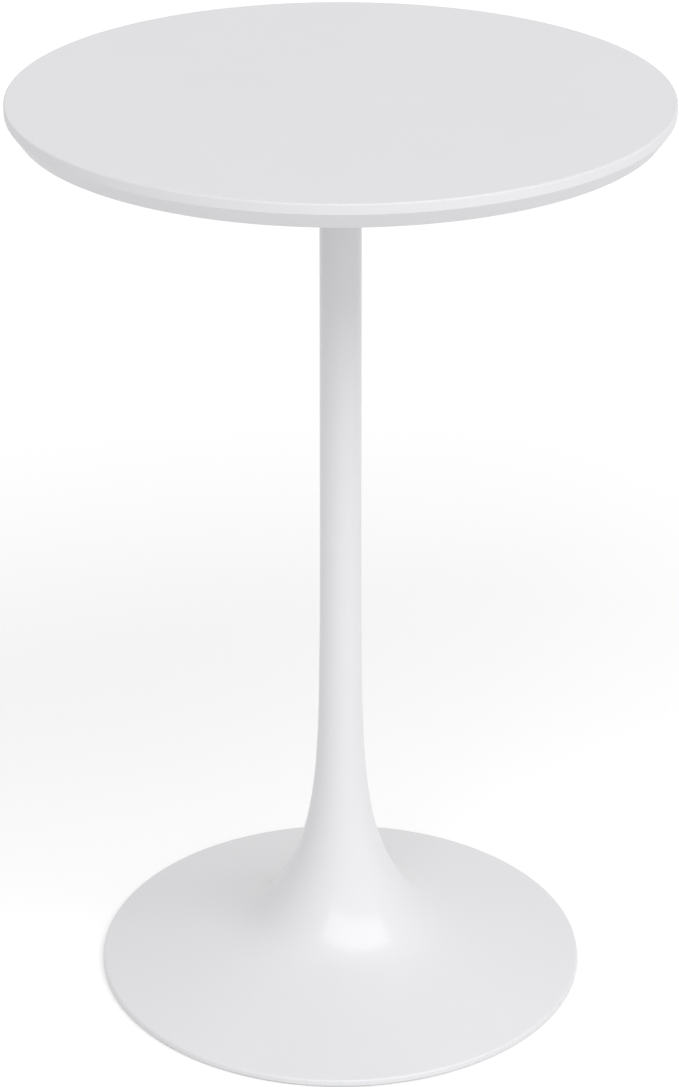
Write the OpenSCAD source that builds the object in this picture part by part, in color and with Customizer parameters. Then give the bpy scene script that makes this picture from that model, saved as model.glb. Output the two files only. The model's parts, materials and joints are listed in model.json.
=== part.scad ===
// Round bar table on a trumpet pedestal.
// A bevelled board is screwed to a steel plate. One long tie rod inside the column
// pulls that plate down and an iron ballast casting up into the one-piece shell.
// Millimetres. The floor is z = 0 and the tie rod stands on the Z axis.

/* [Overall] */
// Height of the table's upper face above the floor
table_h = 1050; // [1000:10:1150]

/* [Table top] */
// Diameter of the board
top_d = 700; // [600:10:800]
// Thickness of the board
top_t = 28; // [27:1:36]
// Height of the upright band round the board's edge, corner included
top_band_h = 11; // [7:1:15]
// How far the bevel under the band runs inwards
top_bevel_in = 12; // [4:1:24]
// Radius of the board's upper corner
top_corner_r = 2; // [1:0.5:4]
// Radius that the paint leaves on the edge's lower corners
top_soft_r = 1; // [0.5:0.25:2]

/* [Pedestal shell] */
// Diameter of the base at its rim
base_d = 557; // [500:1:640]
// Diameter of the column just under the plate
column_top_d = 45; // [42:1:60]
// Diameter that the column's taper would have at the floor
column_low_d = 47; // [45:1:66]
// Thickness of the shell's wall
skin_t = 2.5; // [1.5:0.25:3]
// Slope of the base's conical skirt
skirt_slope = 13.5; // [10:0.5:18]
// Distance from the column at which the throat leaves the skirt
throat_r = 87; // [70:1:110]
// Height over which the throat closes on the column
throat_h = 67; // [50:1:85]
// How tightly the throat turns out of the skirt
throat_turn = 6.5; // [3:0.5:9]
// Gap between the rim's lower edge and the floor
rim_gap = 2; // [1.5:0.25:3]
// Height of the rim's upright band
rim_band_h = 4; // [3:0.5:8]
// Radius of the rim's upper corner
rim_corner_r = 3; // [3:0.5:6]

/* [Top plate and socket] */
// Diameter of the steel plate under the board
plate_d = 250; // [230:10:320]
// Thickness of the plate
plate_t = 5; // [4:0.5:8]
// Diameter of the circle that the plate screws stand on
screw_circle_d = 210; // [160:5:212]
// How many plate screws there are
screw_count = 6; // [4:1:8]
// How far the socket reaches down into the column
socket_l = 45; // [30:5:80]
// Wall of the socket
socket_t = 3; // [2:0.5:4]
// Leg of the weld inside the socket
weld_leg = 3; // [2:0.5:4]
// Height of the socket's tapered lead-in
lead_h = 2; // [1:0.5:4]
// How far the lead-in draws the socket's end in
lead_w = 1; // [0.5:0.25:1.5]

/* [Plate screws] */
// Thread diameter of the plate screws
screw_d = 6; // [5:0.5:8]
// How far each screw reaches into its insert
screw_bite = 11; // [8:0.5:12]
// Outer diameter of the threaded inserts
insert_d = 10; // [9.5:0.5:12]
// Length of the threaded inserts
insert_l = 13; // [13:0.5:16]
// Thickness of the washers under the screw heads
screw_washer_t = 1.6; // [1:0.2:2.4]

/* [Tie rod] */
// Diameter of the tie rod
rod_d = 12; // [10:1:14]
// How far the rod stands out of either nut
rod_end = 2; // [1:0.5:4]
// Outer diameter of the flat washers on the rod
rod_washer_d = 36; // [30:1:40]
// Thickness of the flat washers on the rod
rod_washer_t = 3; // [2:0.5:4]
// Thickness of the spring washer
spring_washer_t = 2.5; // [2:0.25:3.5]

/* [Ballast casting] */
// Height of the casting's underside above the floor
ballast_lift = 4; // [3.8:0.1:5]
// Thickness of the casting's plate
ballast_t = 12; // [10:0.5:14]
// Distance from the base's outline to the casting's edge
ballast_margin = 14; // [12:0.5:18]
// Depth of the pockets between the ribs
pocket_depth = 5; // [3:0.5:7]
// Width of the ribs
rib_w = 16; // [10:1:24]
// Width of the solid ring outside the pockets
ring_w = 34; // [28:1:44]
// Thickness of the hub's web that the rod pulls on
hub_web = 12; // [8:0.5:18]
// Wall of the hub round the nut's recess
hub_wall = 9; // [6:0.5:14]
// Radius of the fillet at the hub's foot
hub_fillet = 8; // [4:1:12]
// Radius of the hub's upper corner
hub_corner_r = 3; // [1:0.5:5]
// Thickness of the rubber ring between casting and shell
gasket_t = 2; // [1:0.25:2.5]
// Width of the rubber ring
gasket_w = 24; // [16:1:30]

/* [Levelling glides] */
// Diameter of the circle that the glides stand on
glide_circle_d = 428; // [380:2:436]
// Thread diameter of the glide stems
stem_d = 8; // [6:1:10]
// Diameter of the stem's flat head
stem_head_d = 16; // [14:0.5:18]
// Thickness of the stem's flat head
stem_head_t = 1.6; // [1.2:0.1:1.8]
// Width across the stem's hexagon socket
stem_key = 4; // [3:0.5:5]
// Outer diameter of the pads
pad_d = 28; // [24:1:34]
// Thickness of the pad under the stem's head
pad_sole = 1.2; // [1:0.1:1.4]
// How far the pad's lip reaches over the stem's head
pad_lip_w = 1.5; // [1:0.25:3]
// How far a stem's end lies under the casting's upper side when screwed home
stem_sink = 0.5; // [0:0.25:2]

/* [Clearances] */
// Gap between the socket and the column's bore, on the radius
socket_clear = 0.15; // [0.05:0.05:0.3]
// Gap between the rod and the holes it passes, on the radius
rod_clear = 0.5; // [0.25:0.05:1]
// Gap between the screws and the plate's holes, on the radius
screw_clear = 0.4; // [0.2:0.05:0.8]
// Gap between a thread and its nut or tapped hole, on the radius
thread_clear = 0.05; // [0.02:0.01:0.1]
// Free depth beyond the end of a screw, rod or stem
end_clear = 2; // [1:0.5:3]
// Gap round a stem's head inside its pad
head_clear = 0.2; // [0.1:0.05:0.3]
// Gap between a pad and the casting when the glide is screwed home
pad_clear = 0.3; // [0.2:0.05:0.5]

/* [Hidden] */
$fn = 96;

// How far every cutter runs out of what it cuts
over = 1;
// Broken edges: washers and screw ends, plate and casting, ends of rod and stems, pads
fine_edge = 0.3;
plate_edge = 1;
thread_edge = 1;
pad_edge = 0.8;

// Colours
white_top = [0.88, 0.88, 0.885];
white_base = [0.92, 0.92, 0.925];
zinc = [0.70, 0.71, 0.72];
dark_steel = [0.32, 0.33, 0.34];
brass = [0.74, 0.62, 0.34];
black_iron = [0.13, 0.13, 0.14];
black_rubber = [0.07, 0.07, 0.075];

// Board and what hangs under it
top_r = top_d / 2;
under_top = table_h - top_t;
under_plate = under_top - plate_t;
insert_hole_l = insert_l + end_clear;

// Button head, its dome and key, and the washer, in proportion to the screw's thread
head_r = 0.95 * screw_d;
head_h = 0.6 * screw_d;
head_dome_r = 0.8 * head_h;
screw_key_r = 0.36 * screw_d;
screw_key_depth = 0.6 * head_h;
screw_washer_r = 1.1 * screw_d;

// Hexagon nuts, 1.5 threads across their flats and 0.9 high
rod_r = rod_d / 2;
nut_flat_r = 1.5 * rod_d / 2;
nut_r = nut_flat_r / cos(30);
nut_h = 0.9 * rod_d;
nut_pocket_r = rod_washer_d / 2 + end_clear;
rod_top = under_top + rod_washer_t + nut_h + rod_end;

// Shell: the throat's outline leaves the skirt's cone and closes on the column
base_r = base_d / 2;
column_top_r = column_top_d / 2;
column_low_r = column_low_d / 2;
rim_side = rim_gap + rim_band_h;
flare_r = base_r - rim_corner_r * (1 - sin(skirt_slope));
flare_z = rim_side + rim_corner_r * cos(skirt_slope);
reach = flare_r - column_low_r;
turn_step = 1.8;
turns = floor((90 - skirt_slope) / turn_step);

// Ballast: seated on the underside of the skirt's cone
ballast_r = base_r - ballast_margin;
ballast_top = ballast_lift + ballast_t;
seat_in_r = ballast_r - gasket_w;
hub_depth = end_clear + rod_end + nut_h + spring_washer_t + rod_washer_t;
hub_web_z = ballast_lift + hub_depth;
hub_top = hub_web_z + hub_web;
hub_r = nut_pocket_r + hub_wall;
hub_foot_r = hub_r + hub_fillet;
base_washer_z = hub_web_z - rod_washer_t;
spring_washer_z = base_washer_z - spring_washer_t;
spring_washer_r = 0.86 * rod_d;
spring_slit_w = 1;
base_nut_z = spring_washer_z - nut_h;
rod_low = base_nut_z - rod_end;
rib_count = 8;

// Glides
corners = [225, 315, 45, 135];
glide_r = glide_circle_d / 2;
pad_top = ballast_lift - pad_clear;
pad_lip = pad_top - pad_sole - stem_head_t - 2 * head_clear;
stem_r = stem_d / 2;
stem_head_r = stem_head_d / 2;
stem_head_z = pad_sole + head_clear;
stem_key_r = stem_key / 2 / cos(30);
stem_socket_depth = stem_key;
pad_hole_r = stem_key_r + end_clear;
boss_r = pad_d / 2 + end_clear;

function unit(v) = v / norm(v);

// Points of the arc of radius r that rounds corner b between a and c
function corner_arc(a, b, c, r, n = 5) =
    let (
        u = unit(a - b),
        v = unit(c - b),
        half = acos(u * v) / 2,
        centre = b + unit(u + v) * r / sin(half),
        spoke = b + u * r / tan(half) - centre,
        from = atan2(spoke[1], spoke[0]),
        sweep = -sign(cross(u, v)) * (180 - 2 * half)
    )
    [for (i = [0:n]) centre + r * [cos(from + sweep * i / n), sin(from + sweep * i / n)]];

// A closed outline of [r, z, corner radius] rows with its corners rounded
function rounded(rows) =
    let (n = len(rows), p = [for (row = rows) [row[0], row[1]]])
    [for (i = [0:n - 1])
        each rows[i][2] > 0
            ? corner_arc(p[(i + n - 1) % n], p[i], p[(i + 1) % n], rows[i][2])
            : [p[i]]];

// A turned part from such an outline
module turned(rows) {
    rotate_extrude()
        polygon(rounded(rows));
}

// A flat ring from z upwards, with its outer edges broken
module ring(outer_r, inner_r, z, h, edge = fine_edge) {
    turned([
        [inner_r, z, 0],
        [outer_r, z, edge],
        [outer_r, z + h, edge],
        [inner_r, z + h, 0]
    ]);
}

module hexagon(r, z, h) {
    translate([0, 0, z])
        cylinder(r = r, h = h, $fn = 6);
}

// A hexagon nut from z upwards, its corners turned off at both ends
module nut(z) {
    fall = (nut_r - nut_flat_r) * tan(30);
    difference() {
        intersection() {
            hexagon(nut_r, z, nut_h);
            rotate_extrude()
                polygon([
                    [0, z],
                    [nut_flat_r, z],
                    [nut_r, z + fall],
                    [nut_r, z + nut_h - fall],
                    [nut_flat_r, z + nut_h],
                    [0, z + nut_h]
                ]);
        }
        bore(rod_r + thread_clear, z, nut_h);
    }
}

// A drill from z upwards that runs out of both faces
module bore(r, z, h) {
    translate([0, 0, z - over])
        cylinder(r = r, h = h + 2 * over);
}

module on_circle(d, count) {
    for (i = [0:count - 1])
        rotate([0, 0, 360 / count * i])
            translate([d / 2, 0, 0])
                children();
}

module at_corner(i) {
    rotate([0, 0, corners[i]])
        translate([glide_r, 0, 0])
            children();
}

// The flare at u, the distance from the column: its slope, height and radius
function flare_slope(u) =
    atan(tan(skirt_slope) + throat_h / (u * (1 + pow(u / throat_r, throat_turn))));
function flare_height(u) =
    flare_z + (reach - u) * tan(skirt_slope)
    + throat_h / throat_turn * ln(1 + pow(throat_r / u, throat_turn));
function column_r(z) =
    column_low_r - (column_low_r - column_top_r) * z / under_plate;
function flare_point(u, depth) =
    let (z = flare_height(u), a = flare_slope(u))
    [column_r(z) + u - depth * sin(a), z - depth * cos(a)];

// The distance from the column at which the flare has a given slope, by halving
function flare_at(slope, low = 0.01, high = reach, n = 40) =
    let (middle = (low + high) / 2)
    n == 0 ? middle
    : flare_slope(middle) > slope ? flare_at(slope, middle, high, n - 1)
    : flare_at(slope, low, middle, n - 1);

// One station for each turn_step of slope, then ever closer to upright
stations = concat(
    [for (i = [1:turns - 1]) flare_at(skirt_slope + turn_step * i)],
    [for (k = [1:4]) flare_at(90 - turn_step / pow(2, k))]
);

// The shell's outline at a depth under its painted face, from the rim to the column's top
function shell_face(depth) =
    let (
        centre = [base_r - rim_corner_r, rim_side],
        corner = [for (a = [0:15:75]) a * (90 - skirt_slope) / 75],
        r = rim_corner_r - depth
    )
    concat(
        [[base_r - depth, rim_gap]],
        [for (a = corner) centre + r * [cos(a), sin(a)]],
        [for (u = stations) flare_point(u, depth)],
        [[column_top_r - depth, under_plate]]
    );

// Height of the shell's underside over the skirt's cone, at radius r
function under_skin(r) =
    let (
        run = base_r - rim_corner_r + (rim_corner_r - skin_t) * sin(skirt_slope),
        low = rim_side + (rim_corner_r - skin_t) * cos(skirt_slope),
        inner = flare_point(stations[0], skin_t)
    )
    low + (run - r) * (inner[1] - low) / (run - inner[0]);

// Height of the casting's conical seat, and of its whole upper side, at radius r
function ballast_seat(r) = under_skin(r) - gasket_t;
function casting_top(r) = min(ballast_top, ballast_seat(r));
function cone_rise() = (under_skin(seat_in_r) - under_skin(ballast_r)) / gasket_w;

// Bevelled board, drilled underneath for the inserts and the top nut
module table_top() {
    color(white_top)
    difference() {
        turned([
            [0, under_top, 0],
            [top_r - top_bevel_in, under_top, top_soft_r],
            [top_r, table_h - top_band_h, top_soft_r],
            [top_r, table_h, top_corner_r],
            [0, table_h, 0]
        ]);
        translate([0, 0, under_top - over])
            cylinder(r = nut_pocket_r, h = rod_top - under_top + end_clear + over);
        on_circle(screw_circle_d, screw_count)
            translate([0, 0, under_top - over])
                cylinder(r = insert_d / 2, h = insert_hole_l + over);
    }
}

// Threaded inserts driven into the board
module top_inserts() {
    color(brass)
    on_circle(screw_circle_d, screw_count)
        ring(insert_d / 2, screw_d / 2 + thread_clear, under_top, insert_l);
}

// Steel plate under the board
module top_plate() {
    color(dark_steel)
    difference() {
        turned([
            [0, under_plate, 0],
            [plate_d / 2, under_plate, plate_edge],
            [plate_d / 2, under_top, 0],
            [0, under_top, 0]
        ]);
        bore(rod_r + rod_clear, under_plate, plate_t);
        on_circle(screw_circle_d, screw_count)
            bore(screw_d / 2 + screw_clear, under_plate, plate_t);
    }
}

// Tube that centres the column, welded to the plate on its inside
module plate_socket() {
    outer = column_top_r - skin_t - socket_clear;
    inner = outer - socket_t;
    color(dark_steel)
    rotate_extrude()
        polygon([
            [inner, under_plate - socket_l],
            [outer - lead_w, under_plate - socket_l],
            [outer, under_plate - socket_l + lead_h],
            [outer, under_plate],
            [inner - weld_leg, under_plate],
            [inner, under_plate - weld_leg]
        ]);
}

// Button-headed screws through the plate
module plate_screws() {
    seat = under_plate - screw_washer_t;
    color(zinc)
    on_circle(screw_circle_d, screw_count)
        difference() {
            turned([
                [0, seat - head_h, 0],
                [head_r, seat - head_h, head_dome_r],
                [head_r, seat, 0],
                [screw_d / 2, seat, 0],
                [screw_d / 2, under_top + screw_bite, 2 * fine_edge],
                [0, under_top + screw_bite, 0]
            ]);
            hexagon(screw_key_r, seat - head_h - over, screw_key_depth + over);
        }
}

module plate_washers() {
    color(zinc)
    on_circle(screw_circle_d, screw_count)
        ring(screw_washer_r, screw_d / 2 + screw_clear / 2,
            under_plate - screw_washer_t, screw_washer_t);
}

// Rod from the hub to the board's pocket
module tie_rod() {
    color(zinc)
    turned([
        [0, rod_low, 0],
        [rod_r, rod_low, thread_edge],
        [rod_r, rod_top, thread_edge],
        [0, rod_top, 0]
    ]);
}

module top_washer() {
    color(zinc)
    ring(rod_washer_d / 2, rod_r + rod_clear / 2, under_top, rod_washer_t);
}

module top_nut() {
    color(zinc)
    nut(under_top + rod_washer_t);
}

// Column, throat and base as one skin of even thickness
module pedestal_shell() {
    inside = shell_face(skin_t);
    color(white_base)
    rotate_extrude()
        polygon(concat(
            shell_face(0),
            [for (i = [len(inside) - 1:-1:0]) inside[i]]
        ));
}

// Rubber ring that beds the shell on the casting
module seat_gasket() {
    color(black_rubber)
    rotate_extrude()
        polygon([
            [seat_in_r, ballast_seat(seat_in_r)],
            [ballast_r, ballast_seat(ballast_r)],
            [ballast_r, under_skin(ballast_r)],
            [seat_in_r, under_skin(seat_in_r)]
        ]);
}

// Iron casting: plate, conical seat, hub and the pockets between its ribs
module ballast_casting() {
    flat_r = ballast_r - (ballast_top - ballast_seat(ballast_r)) / cone_rise();
    color(black_iron)
    difference() {
        turned([
            [0, ballast_lift, 0],
            [ballast_r, ballast_lift, plate_edge],
            [ballast_r, ballast_seat(ballast_r), 0],
            [flat_r, ballast_top, 0],
            [hub_r, ballast_top, hub_fillet],
            [hub_r, hub_top, hub_corner_r],
            [0, hub_top, 0]
        ]);
        bore(rod_r + rod_clear, hub_web_z, hub_web);
        translate([0, 0, ballast_lift - over])
            cylinder(r = nut_pocket_r, h = hub_depth + over);
        for (i = [0:3])
            at_corner(i)
                bore(stem_r + thread_clear, ballast_lift, ballast_t);
        rib_pockets();
    }
}

// What the ribs, the hub's ring and the glide bosses leave open underneath
module rib_pockets() {
    low = ballast_lift - over;
    high = pocket_depth + over;
    difference() {
        translate([0, 0, low])
            cylinder(r = ballast_r - ring_w, h = high);
        translate([0, 0, low - over])
            cylinder(r = hub_foot_r, h = high + 2 * over);
        for (i = [0:rib_count / 2 - 1])
            rotate([0, 0, 360 / rib_count * i])
                translate([-ballast_r, -rib_w / 2, low - over])
                    cube([2 * ballast_r, rib_w, high + 2 * over]);
        for (i = [0:3])
            at_corner(i)
                translate([0, 0, low - over])
                    cylinder(r = boss_r, h = high + 2 * over);
    }
}

module base_washer() {
    color(zinc)
    ring(rod_washer_d / 2, rod_r + rod_clear / 2, base_washer_z, rod_washer_t);
}

// Spring washer, flattened by the nut, with its slit
module spring_washer() {
    color(dark_steel)
    difference() {
        ring(spring_washer_r, rod_r + rod_clear / 2, spring_washer_z, spring_washer_t);
        translate([0, -spring_slit_w / 2, spring_washer_z - over])
            cube([rod_d, spring_slit_w, spring_washer_t + 2 * over]);
    }
}

module base_nut() {
    color(zinc)
    nut(base_nut_z);
}

// Stem of a glide: thread, flat head and hexagon socket
module glide_stem(i) {
    stem_top = casting_top(glide_r + stem_r) - stem_sink;
    color(zinc)
    at_corner(i)
        difference() {
            turned([
                [0, stem_head_z, 0],
                [stem_head_r, stem_head_z, fine_edge],
                [stem_head_r, stem_head_z + stem_head_t, fine_edge],
                [stem_r, stem_head_z + stem_head_t, 0],
                [stem_r, stem_top, thread_edge],
                [0, stem_top, 0]
            ]);
            hexagon(stem_key_r, stem_head_z - over, stem_socket_depth + over);
        }
}

// Nylon pad that holds the stem's head and lets it turn
module glide_pad(i) {
    pocket_r = stem_head_r + head_clear;
    lip_r = stem_head_r - pad_lip_w;
    color(black_rubber)
    at_corner(i)
        turned([
            [pad_hole_r, 0, 0],
            [pad_d / 2, 0, pad_edge],
            [pad_d / 2, pad_top, pad_edge],
            [lip_r, pad_top, 0],
            [lip_r, pad_top - pad_lip, 0],
            [pocket_r, pad_top - pad_lip, 0],
            [pocket_r, pad_sole, 0],
            [pad_hole_r, pad_sole, 0]
        ]);
}

table_top();
top_inserts();
top_plate();
plate_socket();
plate_screws();
plate_washers();
tie_rod();
top_washer();
top_nut();
pedestal_shell();
seat_gasket();
ballast_casting();
base_washer();
spring_washer();
base_nut();
glide_stem(0);  // stem_front_left
glide_stem(1);  // stem_front_right
glide_stem(2);  // stem_back_right
glide_stem(3);  // stem_back_left
glide_pad(0);  // pad_front_left
glide_pad(1);  // pad_front_right
glide_pad(2);  // pad_back_right
glide_pad(3);  // pad_back_left
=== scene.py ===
import json
import math

import bmesh
import bpy
from mathutils import Euler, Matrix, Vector

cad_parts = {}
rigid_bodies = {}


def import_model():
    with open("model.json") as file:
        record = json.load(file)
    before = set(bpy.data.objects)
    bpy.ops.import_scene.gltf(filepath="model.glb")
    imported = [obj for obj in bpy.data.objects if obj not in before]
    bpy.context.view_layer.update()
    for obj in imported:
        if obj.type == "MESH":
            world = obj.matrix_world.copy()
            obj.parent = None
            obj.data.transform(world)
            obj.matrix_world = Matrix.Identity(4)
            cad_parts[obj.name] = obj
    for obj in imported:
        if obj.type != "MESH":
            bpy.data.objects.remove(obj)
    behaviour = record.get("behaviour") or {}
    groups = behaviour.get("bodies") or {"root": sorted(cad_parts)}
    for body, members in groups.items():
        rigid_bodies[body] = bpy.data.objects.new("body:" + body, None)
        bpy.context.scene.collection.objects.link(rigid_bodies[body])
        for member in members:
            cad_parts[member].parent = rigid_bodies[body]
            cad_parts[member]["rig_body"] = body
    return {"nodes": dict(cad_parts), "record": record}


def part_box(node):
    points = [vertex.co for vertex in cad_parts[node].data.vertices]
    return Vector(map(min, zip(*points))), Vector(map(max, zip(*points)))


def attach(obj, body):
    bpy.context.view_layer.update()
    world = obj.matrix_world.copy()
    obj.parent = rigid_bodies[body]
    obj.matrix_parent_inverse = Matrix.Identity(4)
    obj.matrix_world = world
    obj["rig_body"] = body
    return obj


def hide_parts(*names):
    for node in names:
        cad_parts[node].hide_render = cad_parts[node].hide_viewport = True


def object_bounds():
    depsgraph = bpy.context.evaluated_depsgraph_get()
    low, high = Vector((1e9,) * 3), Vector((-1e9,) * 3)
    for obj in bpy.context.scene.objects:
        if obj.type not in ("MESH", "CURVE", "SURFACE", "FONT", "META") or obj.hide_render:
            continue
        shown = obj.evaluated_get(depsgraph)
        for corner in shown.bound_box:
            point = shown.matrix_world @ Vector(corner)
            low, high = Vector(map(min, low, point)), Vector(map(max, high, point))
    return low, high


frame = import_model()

# Round white bar table on a trumpet pedestal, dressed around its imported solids.
# Lengths are in metres. The floor is z = 0 and the viewer of the photograph stands at -Y.
MM = 0.001
MICRON = 0.000001
nodes = frame["nodes"]
slots = {part["node"]: part["material_slot"] for part in frame["record"]["subparts"]}
scene = bpy.context.scene
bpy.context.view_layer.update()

# The photograph: its height and focal length in pixels, the sensor's width in millimetres,
# and the camera's place and its tilt down in degrees, which the table's outlines give
IMAGE_H = 1087
FOCAL_PX = 3189
SENSOR = 36
CAMERA_AT = (-0.0012, -3.203, 2.041)
CAMERA_TILT = 25.23

# Studio: a white sky, and two wide softboxes to the right of the camera.
# A softbox has its angles to the right and up in degrees, its width and its height.
SKY_FILL = 0.51
SOFTBOX_AWAY = 16
KEY = (25, 50, 25, 8.8)
KEY_LEVEL = 0.73
FILL = (40, 14, 18, 8)
FILL_LEVEL = 0.05

# White floor: its size and paint, and its glow near the table and far out
FLOOR_R = 30
FLOOR_SEGMENTS = 64
FLOOR_WHITE = 0.87
FLOOR_NEAR = 1.0
FLOOR_FAR = 7.0
GLOW_NEAR = 0.24
GLOW_FAR = 0.6

# Pedestal shell: the driving sizes of its outline, as the solid has them
BASE_R = 278.5 * MM
COLUMN_TOP_R = 22.5 * MM
COLUMN_LOW_R = 23.5 * MM
SKIN = 2.5 * MM
SKIRT_SLOPE = math.radians(13.5)
THROAT_R = 87 * MM
THROAT_H = 67 * MM
THROAT_TURN = 6.5
RIM_CORNER_R = 3 * MM
RIM_BAND = 4 * MM

# Sampling of the outline: its steps of slope outside and inside, the shorter ones that close
# on the column, and the halvings that find where the flare has a slope
FINE_TURN = math.radians(0.75)
COARSE_TURN = math.radians(3)
CLOSING_STEPS = 5
HALVINGS = 50
NEAREST = 0.001 * MM
SHELL_SEGMENTS = 256

# Threads: root depth as a share of the pitch, where crest and root begin and end, and the
# turns that a helix starts before its end, where they lie flat
THREAD_DEPTH = 0.6134
THREAD_STEPS = [(0, 0), (0.125, 0), (0.4375, 1), (0.6875, 1)]
THREAD_LEAD = 2

# Threaded pieces, as the solids have them, with a small bevel along their edges
EDGE = 0.3 * MM
STEM_R = 4 * MM
STEM_PITCH = 1.25 * MM
STEM_HEAD_T = 1.6 * MM
STEM_KEY = 4 * MM
STEM_KEY_DEPTH = 4 * MM
STEM_NECK = 1.5 * MM
ROD_PITCH = 1.75 * MM
ROD_THREADED = 60 * MM
SCREW_R = 3 * MM
SCREW_PITCH = 1 * MM
SCREW_HEAD_R = 5.7 * MM
SCREW_HEAD_H = 3.6 * MM
SCREW_DOME_R = 2.88 * MM
SCREW_KEY = 3.74 * MM
SCREW_KEY_DEPTH = 2.16 * MM
SCREW_NECK = 2 * MM
SCREW_CIRCLE_R = 105 * MM
SCREW_COUNT = 6
INSERT_BORE_R = 3.05 * MM
INSERT_PITCH = 2 * MM

# Meshes
ROUND_SEGMENTS = 48
ARC_STEPS = 8
SHARP_EDGE = math.radians(35)
WELD = 0.001 * MM

# Textures: the values between which most of a noise lies, the length of a wave at a scale
# of 1, and the unevenness of turning marks
NOISE_LOW = 0.3
NOISE_HIGH = 0.7
WAVE_LENGTH = math.pi / 10
MARKS_UNEVEN = 0.4

# White paint: its clouds and their shade, its patches and their change of roughness, and
# how many times finer and shallower its grain is than its waviness
PAINT_IOR = 1.5
CLOUD = 120 * MM
CLOUD_SHADE = 0.992
PATCH = 30 * MM
PATCH_ROUGH = 0.02
GRAIN_FINER = 4
GRAIN_SHALLOWER = 12


# Mesh building: surfaces swept round an upright axis
class Turned:
    """A mesh of rings round an upright axis through centre, its first spoke at an angle."""

    def __init__(self, centre=(0, 0), first_angle=0, segments=ROUND_SEGMENTS):
        self.mesh = bmesh.new()
        self.centre = centre
        self.first_angle = first_angle
        self.angles = [2 * math.pi * k / segments for k in range(segments)]

    def ring(self, radius, height):
        """One ring of vertices; radius and height are numbers or functions of the angle."""
        verts = []
        for angle in self.angles:
            r = radius(angle) if callable(radius) else radius
            z = height(angle) if callable(height) else height
            x = self.centre[0] + r * math.cos(angle + self.first_angle)
            y = self.centre[1] + r * math.sin(angle + self.first_angle)
            verts.append(self.mesh.verts.new((x, y, z)))
        return verts

    def skin(self, rings, shift=0):
        """Faces between following rings; a helix joins its own turn shift rings further on."""
        last = len(self.angles) - 1
        for i in range(len(rings) - 1 - shift):
            low, high = rings[i], rings[i + 1]
            for k in range(last):
                self.mesh.faces.new((low[k], low[k + 1], high[k + 1], high[k]))
            seam_low, seam_high = rings[i + shift], rings[i + 1 + shift]
            self.mesh.faces.new((low[last], seam_low[0], seam_high[0], high[last]))

    def sweep(self, rows):
        """A surface through rows of (radius, height)."""
        self.skin([self.ring(radius, height) for radius, height in rows])

    def thread(self, radius, pitch, low, high):
        """A screw thread with its crests at radius, closed down to its root at both ends."""
        root = radius - THREAD_DEPTH * pitch
        count = math.ceil((high - low) / pitch) + 1
        rings = []
        for turn in range(-THREAD_LEAD, count + 1):
            for share, depth in THREAD_STEPS:
                rings.append(self.helix(turn + share, radius - depth * (radius - root),
                                        root, pitch, low, high))
        self.skin(rings, len(THREAD_STEPS))
        return root

    def helix(self, start, radius, root, pitch, low, high):
        """One turn of an edge that climbs by the pitch, flat at the root past low and high."""
        def rise(angle):
            return low + (start + angle / (2 * math.pi)) * pitch

        return self.ring(lambda a: radius if low < rise(a) < high else root,
                         lambda a: min(max(rise(a), low), high))

    def piece(self, name):
        """The closed mesh as an object, smooth apart from its sharp edges."""
        bmesh.ops.remove_doubles(self.mesh, verts=self.mesh.verts, dist=WELD)
        bmesh.ops.recalc_face_normals(self.mesh, faces=self.mesh.faces)
        data = bpy.data.meshes.new(name)
        self.mesh.to_mesh(data)
        self.mesh.free()
        data.shade_smooth()
        data.set_sharp_from_angle(angle=SHARP_EDGE)
        piece = bpy.data.objects.new(name, data)
        scene.collection.objects.link(piece)
        return piece


def hexagon(across):
    """Radius of a hexagon at each angle, from its width across the flats."""
    sixth = math.pi / 3
    return lambda angle: across / 2 / math.cos(angle % sixth - sixth / 2)


def arc(centre, radius, start, end):
    """Rows of (radius, height) along an arc, angles in degrees."""
    turns = [math.radians(start + (end - start) * i / ARC_STEPS) for i in range(ARC_STEPS + 1)]
    return [(centre[0] + radius * math.cos(t), centre[1] + radius * math.sin(t)) for t in turns]


# Pedestal shell
def flare_slope(u):
    """Slope of the painted face at the distance u from the column."""
    close = u * (1 + (u / THROAT_R) ** THROAT_TURN)
    return math.atan(math.tan(SKIRT_SLOPE) + THROAT_H / close)


def flare_at(slope, reach):
    """The distance from the column, up to reach, at which the flare has that slope."""
    low, high = NEAREST, reach
    for _ in range(HALVINGS):
        middle = (low + high) / 2
        if flare_slope(middle) > slope:
            low = middle
        else:
            high = middle
    return (low + high) / 2


def shell_face(depth, step, low, high):
    """Rows of the shell's face at a depth under the paint, from the rim up to the column's end."""
    rim_side = low + RIM_BAND
    flare_r = BASE_R - RIM_CORNER_R * (1 - math.sin(SKIRT_SLOPE))
    flare_z = rim_side + RIM_CORNER_R * math.cos(SKIRT_SLOPE)
    reach = flare_r - COLUMN_LOW_R
    turns = int((math.pi / 2 - SKIRT_SLOPE) / step)
    slopes = [SKIRT_SLOPE + step * i for i in range(1, turns)]
    slopes += [math.pi / 2 - step / 2 ** k for k in range(1, CLOSING_STEPS + 1)]
    rows = [(BASE_R - depth, low)]
    rows += arc((BASE_R - RIM_CORNER_R, rim_side), RIM_CORNER_R - depth,
                0, 90 - math.degrees(SKIRT_SLOPE))
    for slope in slopes:
        u = flare_at(slope, reach)
        rise = THROAT_H / THROAT_TURN * math.log(1 + (THROAT_R / u) ** THROAT_TURN)
        z = flare_z + (reach - u) * math.tan(SKIRT_SLOPE) + rise
        column = COLUMN_LOW_R - (COLUMN_LOW_R - COLUMN_TOP_R) * z / high
        rows.append((column + u - depth * math.sin(slope), z - depth * math.cos(slope)))
    rows.append((COLUMN_TOP_R - depth, high))
    return rows


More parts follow.
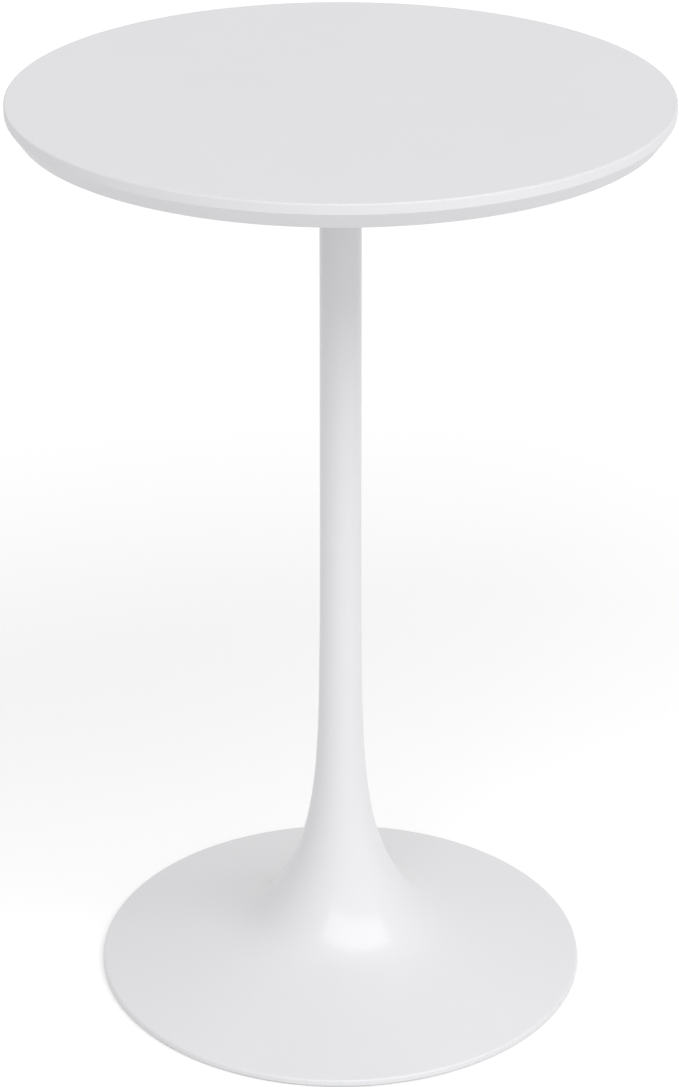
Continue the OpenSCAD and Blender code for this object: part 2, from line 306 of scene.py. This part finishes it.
# Wiring of nodes, for the finishes and for the studio
def feed(tree, socket, value):
    """Sets a socket to a value, or links it to another node's socket."""
    if isinstance(value, bpy.types.NodeSocket):
        tree.links.new(value, socket)
    else:
        socket.default_value = value


def wire(tree, kind, inputs=None, **settings):
    """A new node with its settings, and with its inputs set or linked."""
    node = tree.nodes.new(kind)
    for key, value in settings.items():
        setattr(node, key, value)
    for key, value in (inputs or {}).items():
        feed(tree, node.inputs[key], value)
    return node


def spread(tree, value, start, end, low, high):
    """A value that goes from low to high as the given one goes from start to end."""
    inputs = {"Value": value, "From Min": start, "From Max": end, "To Min": low, "To Max": high}
    return wire(tree, "ShaderNodeMapRange", inputs).outputs["Result"]


# Finishes
class Finish:
    """A material being wired: its tree and its shader, in the object's own coordinates."""

    def __init__(self, name):
        self.material = bpy.data.materials.new(name)
        self.material.use_nodes = True
        self.tree = self.material.node_tree
        self.shader = self.tree.nodes["Principled BSDF"]
        self.place = wire(self.tree, "ShaderNodeTexCoord").outputs["Object"]

    def noise(self, size, detail=2):
        """Soft noise whose features are about size metres across."""
        inputs = {"Vector": self.place, "Scale": 1 / size, "Detail": detail}
        return wire(self.tree, "ShaderNodeTexNoise", inputs).outputs["Fac"]

    def cells(self, size):
        """Rounded cells about size metres across."""
        inputs = {"Vector": self.place, "Scale": 1 / size}
        cells = wire(self.tree, "ShaderNodeTexVoronoi", inputs, feature="SMOOTH_F1")
        return cells.outputs["Distance"]

    def rings(self, pitch):
        """Turning marks one pitch apart along the axis."""
        inputs = {"Vector": self.place, "Scale": WAVE_LENGTH / pitch, "Distortion": MARKS_UNEVEN}
        return wire(self.tree, "ShaderNodeTexWave", inputs, bands_direction="Z").outputs["Fac"]

    def between(self, factor, low, high):
        """The factor's middle part spread between two values."""
        return spread(self.tree, factor, NOISE_LOW, NOISE_HIGH, low, high)

    def colour(self, factor, first, second):
        """Two colours mixed by the factor's middle part."""
        mix = wire(self.tree, "ShaderNodeMix", {"Factor": self.between(factor, 0, 1)},
                   data_type="RGBA")
        ends = [socket for socket in mix.inputs if socket.type == "RGBA"]
        for end, colour in zip(ends, (first, second)):
            end.default_value = (*colour, 1)
        return next(socket for socket in mix.outputs if socket.type == "RGBA")

    def relief(self, height, depth, under=None):
        """A bump of that depth in metres, laid over another one."""
        inputs = {"Height": height, "Distance": depth, "Strength": 1}
        if under is not None:
            inputs["Normal"] = under
        return wire(self.tree, "ShaderNodeBump", inputs).outputs["Normal"]

    def shade(self, **inputs):
        """Sets the shader's sockets, named with underscores, to values or links."""
        for key, value in inputs.items():
            feed(self.tree, self.shader.inputs[key.replace("_", " ")], value)
        return self.material


def white_paint(name, tone, roughness, peel, peel_depth, **gloss):
    """Sprayed white paint: faint clouding, and the slight waviness of the sprayed coat."""
    finish = Finish(name)
    base = finish.colour(finish.noise(CLOUD), [c * CLOUD_SHADE for c in tone], tone)
    wave = finish.relief(finish.noise(peel), peel_depth)
    grain = finish.relief(finish.noise(peel / GRAIN_FINER), peel_depth / GRAIN_SHALLOWER, wave)
    rough = finish.between(finish.noise(PATCH, detail=4),
                           roughness - PATCH_ROUGH, roughness + PATCH_ROUGH)
    return finish.shade(Base_Color=base, Roughness=rough, Normal=grain, IOR=PAINT_IOR, **gloss)


def top_lacquer():
    return white_paint("top_lacquer", (0.775, 0.767, 0.79), 0.42, 6 * MM, 12 * MICRON)


def shell_paint():
    """Satin paint under a thin clear coat, which sharpens the lamp's reflection."""
    return white_paint("shell_paint", (0.803, 0.80, 0.818), 0.30, 4 * MM, 8 * MICRON,
                       Specular_IOR_Level=0.3, Coat_Weight=0.3, Coat_Roughness=0.1)


def black_steel():
    finish = Finish("black_steel")
    base = finish.colour(finish.noise(20 * MM, detail=3),
                         (0.030, 0.030, 0.032), (0.045, 0.045, 0.048))
    rough = finish.between(finish.noise(4 * MM, detail=3), 0.42, 0.56)
    bump = finish.relief(finish.noise(0.8 * MM), 30 * MICRON)
    return finish.shade(Base_Color=base, Roughness=rough, Normal=bump)


def zinc():
    finish = Finish("zinc")
    base = finish.colour(finish.noise(4 * MM, detail=4), (0.56, 0.58, 0.60), (0.70, 0.71, 0.70))
    rough = finish.between(finish.noise(1.5 * MM, detail=4), 0.28, 0.42)
    bump = finish.relief(finish.cells(0.6 * MM), 6 * MICRON)
    return finish.shade(Base_Color=base, Metallic=1, Roughness=rough, Normal=bump)


def brass():
    finish = Finish("brass")
    base = finish.colour(finish.noise(3 * MM, detail=3), (0.66, 0.50, 0.22), (0.78, 0.62, 0.30))
    rough = finish.between(finish.noise(1 * MM, detail=3), 0.28, 0.38)
    bump = finish.relief(finish.rings(0.3 * MM), 8 * MICRON)
    return finish.shade(Base_Color=base, Metallic=1, Roughness=rough, Normal=bump)


def cast_iron():
    """Black iron with the grain of its sand mould on a slightly uneven face."""
    finish = Finish("cast_iron")
    base = finish.colour(finish.noise(15 * MM, detail=5),
                         (0.035, 0.035, 0.038), (0.065, 0.063, 0.062))
    rough = finish.between(finish.noise(6 * MM, detail=4), 0.58, 0.78)
    sand = finish.relief(finish.cells(1.8 * MM), 160 * MICRON)
    bump = finish.relief(finish.noise(9 * MM, detail=4), 300 * MICRON, sand)
    return finish.shade(Base_Color=base, Roughness=rough, Normal=bump)


def rubber():
    finish = Finish("rubber")
    base = finish.colour(finish.noise(10 * MM, detail=3),
                         (0.018, 0.018, 0.019), (0.032, 0.032, 0.033))
    rough = finish.between(finish.noise(3 * MM, detail=3), 0.74, 0.90)
    bump = finish.relief(finish.noise(0.7 * MM), 20 * MICRON)
    return finish.shade(Base_Color=base, Roughness=rough, Normal=bump)


def nylon():
    finish = Finish("nylon")
    base = finish.colour(finish.noise(8 * MM, detail=3),
                         (0.032, 0.032, 0.034), (0.048, 0.048, 0.050))
    rough = finish.between(finish.noise(2 * MM, detail=3), 0.38, 0.52)
    bump = finish.relief(finish.cells(0.5 * MM), 15 * MICRON)
    return finish.shade(Base_Color=base, Roughness=rough, Normal=bump)


# Pieces that stand for a node: the fine shell, and the plain shanks with their threads cut
def take_place(turned, node, name):
    """A turned piece that stands for a node, on the node's body and with its finish."""
    piece = turned.piece(name)
    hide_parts(node)
    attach(piece, nodes[node]["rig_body"])
    piece.data.materials.append(finishes[slots[node]])


def pedestal_skin():
    low, high = (corner.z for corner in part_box("pedestal_shell"))
    outside = shell_face(0, FINE_TURN, low, high)
    inside = shell_face(SKIN, COARSE_TURN, low, high)
    skin = Turned(segments=SHELL_SEGMENTS)
    skin.sweep(outside + inside[::-1] + outside[:1])
    take_place(skin, "pedestal_shell", "pedestal_skin")


def glide_stem(node):
    """A threaded stem with a key socket in its head, which turns in the glide's pad."""
    low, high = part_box(node)
    middle = (low + high) / 2
    head_r = (high.x - low.x) / 2
    head_top = low.z + STEM_HEAD_T
    stem = Turned(middle.xy, math.atan2(middle.y, middle.x))
    root = stem.thread(STEM_R, STEM_PITCH, head_top + STEM_NECK, high.z - EDGE)
    key = hexagon(STEM_KEY)
    stem.sweep([(0, low.z + STEM_KEY_DEPTH), (key, low.z + STEM_KEY_DEPTH), (key, low.z),
                (head_r - EDGE, low.z), (head_r, low.z + EDGE), (head_r, head_top - EDGE),
                (head_r - EDGE, head_top), (root, head_top), (root, head_top + STEM_NECK)])
    stem.sweep([(root, high.z - EDGE), (root - EDGE, high.z), (0, high.z)])
    take_place(stem, node, node + "_cut")


def tie_rod():
    """The rod, plain between the threads at its two ends."""
    low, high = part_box("tie_rod")
    radius = (high.x - low.x) / 2
    lower, upper = low.z + ROD_THREADED, high.z - ROD_THREADED
    rod = Turned()
    root = rod.thread(radius, ROD_PITCH, low.z + EDGE, lower)
    rod.thread(radius, ROD_PITCH, upper, high.z - EDGE)
    rod.sweep([(0, low.z), (root - EDGE, low.z), (root, low.z + EDGE)])
    rod.sweep([(root, lower), (radius, lower + EDGE), (radius, upper - EDGE), (root, upper)])
    rod.sweep([(root, high.z - EDGE), (root - EDGE, high.z), (0, high.z)])
    take_place(rod, "tie_rod", "tie_rod_cut")


def round_the_plate():
    """Centres of the plate's screws and of the inserts that they go into."""
    for i in range(SCREW_COUNT):
        angle = 2 * math.pi * i / SCREW_COUNT
        yield SCREW_CIRCLE_R * math.cos(angle), SCREW_CIRCLE_R * math.sin(angle)


def plate_screws():
    """Button heads with a key socket, head down, and their threads."""
    low, high = (corner.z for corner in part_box("plate_screws"))
    seat = low + SCREW_HEAD_H
    key = hexagon(SCREW_KEY)
    dome = arc((SCREW_HEAD_R - SCREW_DOME_R, low + SCREW_DOME_R), SCREW_DOME_R, -90, 0)
    screws = Turned()
    for centre in round_the_plate():
        screws.centre = centre
        root = screws.thread(SCREW_R, SCREW_PITCH, seat + SCREW_NECK, high - EDGE)
        screws.sweep([(0, low + SCREW_KEY_DEPTH), (key, low + SCREW_KEY_DEPTH), (key, low)]
                     + dome + [(SCREW_HEAD_R, seat), (root, seat), (root, seat + SCREW_NECK)])
        screws.sweep([(root, high - EDGE), (root - EDGE, high), (0, high)])
    take_place(screws, "plate_screws", "plate_screws_cut")


def top_inserts():
    """Sleeves with a coarse thread outside, for the board."""
    low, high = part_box("top_inserts")
    radius = high.x - SCREW_CIRCLE_R
    inserts = Turned()
    for centre in round_the_plate():
        inserts.centre = centre
        root = inserts.thread(radius, INSERT_PITCH, low.z + EDGE, high.z - EDGE)
        inserts.sweep([(root, high.z - EDGE), (root - EDGE, high.z), (INSERT_BORE_R, high.z),
                       (INSERT_BORE_R, low.z), (root - EDGE, low.z), (root, low.z + EDGE)])
    take_place(inserts, "top_inserts", "top_inserts_cut")


# Camera, light and floor
def camera():
    """The photograph's camera: Blender lays the sensor along the picture's longer side."""
    data = bpy.data.cameras.new("camera")
    data.sensor_width = SENSOR
    data.lens = FOCAL_PX / IMAGE_H * SENSOR
    eye = bpy.data.objects.new("camera", data)
    eye.location = CAMERA_AT
    eye.rotation_euler = (math.radians(90 - CAMERA_TILT), 0, 0)
    scene.collection.objects.link(eye)
    scene.camera = eye


def softbox(name, placing, level, mirrored):
    """A softbox whose level is what a white matt face turned to it would show."""
    side, up, width, height = placing
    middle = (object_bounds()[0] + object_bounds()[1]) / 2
    towards = Vector((0, -1, 0))
    towards.rotate(Euler((-math.radians(up), 0, math.radians(side))))
    data = bpy.data.lights.new(name, "AREA")
    data.shape = "RECTANGLE"
    data.size = width
    data.size_y = height
    data.energy = level * (math.pi * SOFTBOX_AWAY) ** 2
    lamp = bpy.data.objects.new(name, data)
    lamp.location = middle + towards * SOFTBOX_AWAY
    lamp.rotation_euler = (-towards).to_track_quat("-Z", "Y").to_euler()
    lamp.visible_glossy = mirrored
    scene.collection.objects.link(lamp)


def seen_directly(tree):
    """1 for camera, mirror and glass rays, 0 for the rays that light the object."""
    rays = wire(tree, "ShaderNodeLightPath").outputs
    found = rays["Is Camera Ray"]
    for kind in ("Is Glossy Ray", "Is Transmission Ray"):
        either = wire(tree, "ShaderNodeMath", {0: found, 1: rays[kind]}, operation="MAXIMUM")
        found = either.outputs[0]
    return found


def sky():
    """A world that shows white and lights the object at the sky's own level."""
    world = bpy.data.worlds.new("studio")
    world.use_nodes = True
    tree = world.node_tree
    background = tree.nodes["Background"].inputs
    feed(tree, background["Color"], (1, 1, 1, 1))
    feed(tree, background["Strength"], spread(tree, seen_directly(tree), 0, 1, SKY_FILL, 1))
    scene.world = world


def floor_paint():
    """White matt paint, with a glow for direct views that grows with the distance."""
    material = bpy.data.materials.new("floor")
    material.use_nodes = True
    tree = material.node_tree
    tree.nodes.remove(tree.nodes["Principled BSDF"])
    white = (FLOOR_WHITE, FLOOR_WHITE, FLOOR_WHITE, 1)
    matt = wire(tree, "ShaderNodeBsdfDiffuse", {"Color": white})
    place = wire(tree, "ShaderNodeTexCoord").outputs["Object"]
    away = wire(tree, "ShaderNodeVectorMath", {0: place}, operation="LENGTH")
    rise = spread(tree, away.outputs["Value"], FLOOR_NEAR, FLOOR_FAR, GLOW_NEAR, GLOW_FAR)
    lift = wire(tree, "ShaderNodeMath", {0: seen_directly(tree), 1: rise}, operation="MULTIPLY")
    glow = wire(tree, "ShaderNodeEmission", {"Strength": lift.outputs[0]})
    both = wire(tree, "ShaderNodeAddShader", {0: matt.outputs[0], 1: glow.outputs[0]})
    feed(tree, tree.nodes["Material Output"].inputs["Surface"], both.outputs[0])
    return material


def floor():
    """A floor that shows white out to the horizon and keeps the shadow round the table."""
    mesh = bmesh.new()
    bmesh.ops.create_circle(mesh, cap_ends=True, segments=FLOOR_SEGMENTS, radius=FLOOR_R)
    data = bpy.data.meshes.new("floor")
    mesh.to_mesh(data)
    mesh.free()
    data.materials.append(floor_paint())
    ground = bpy.data.objects.new("floor", data)
    scene.collection.objects.link(ground)


camera()
finishes = {make.__name__: make() for make in (top_lacquer, shell_paint, black_steel, zinc,
                                               brass, cast_iron, rubber, nylon)}
for name, slot in slots.items():
    nodes[name].material_slots[0].material = finishes[slot]
pedestal_skin()
tie_rod()
plate_screws()
top_inserts()
for name in slots:
    if name.startswith("stem"):
        glide_stem(name)
sky()
softbox("key", KEY, KEY_LEVEL, mirrored=True)
softbox("fill", FILL, FILL_LEVEL, mirrored=False)
floor()
scene.view_settings.view_transform = "Standard"
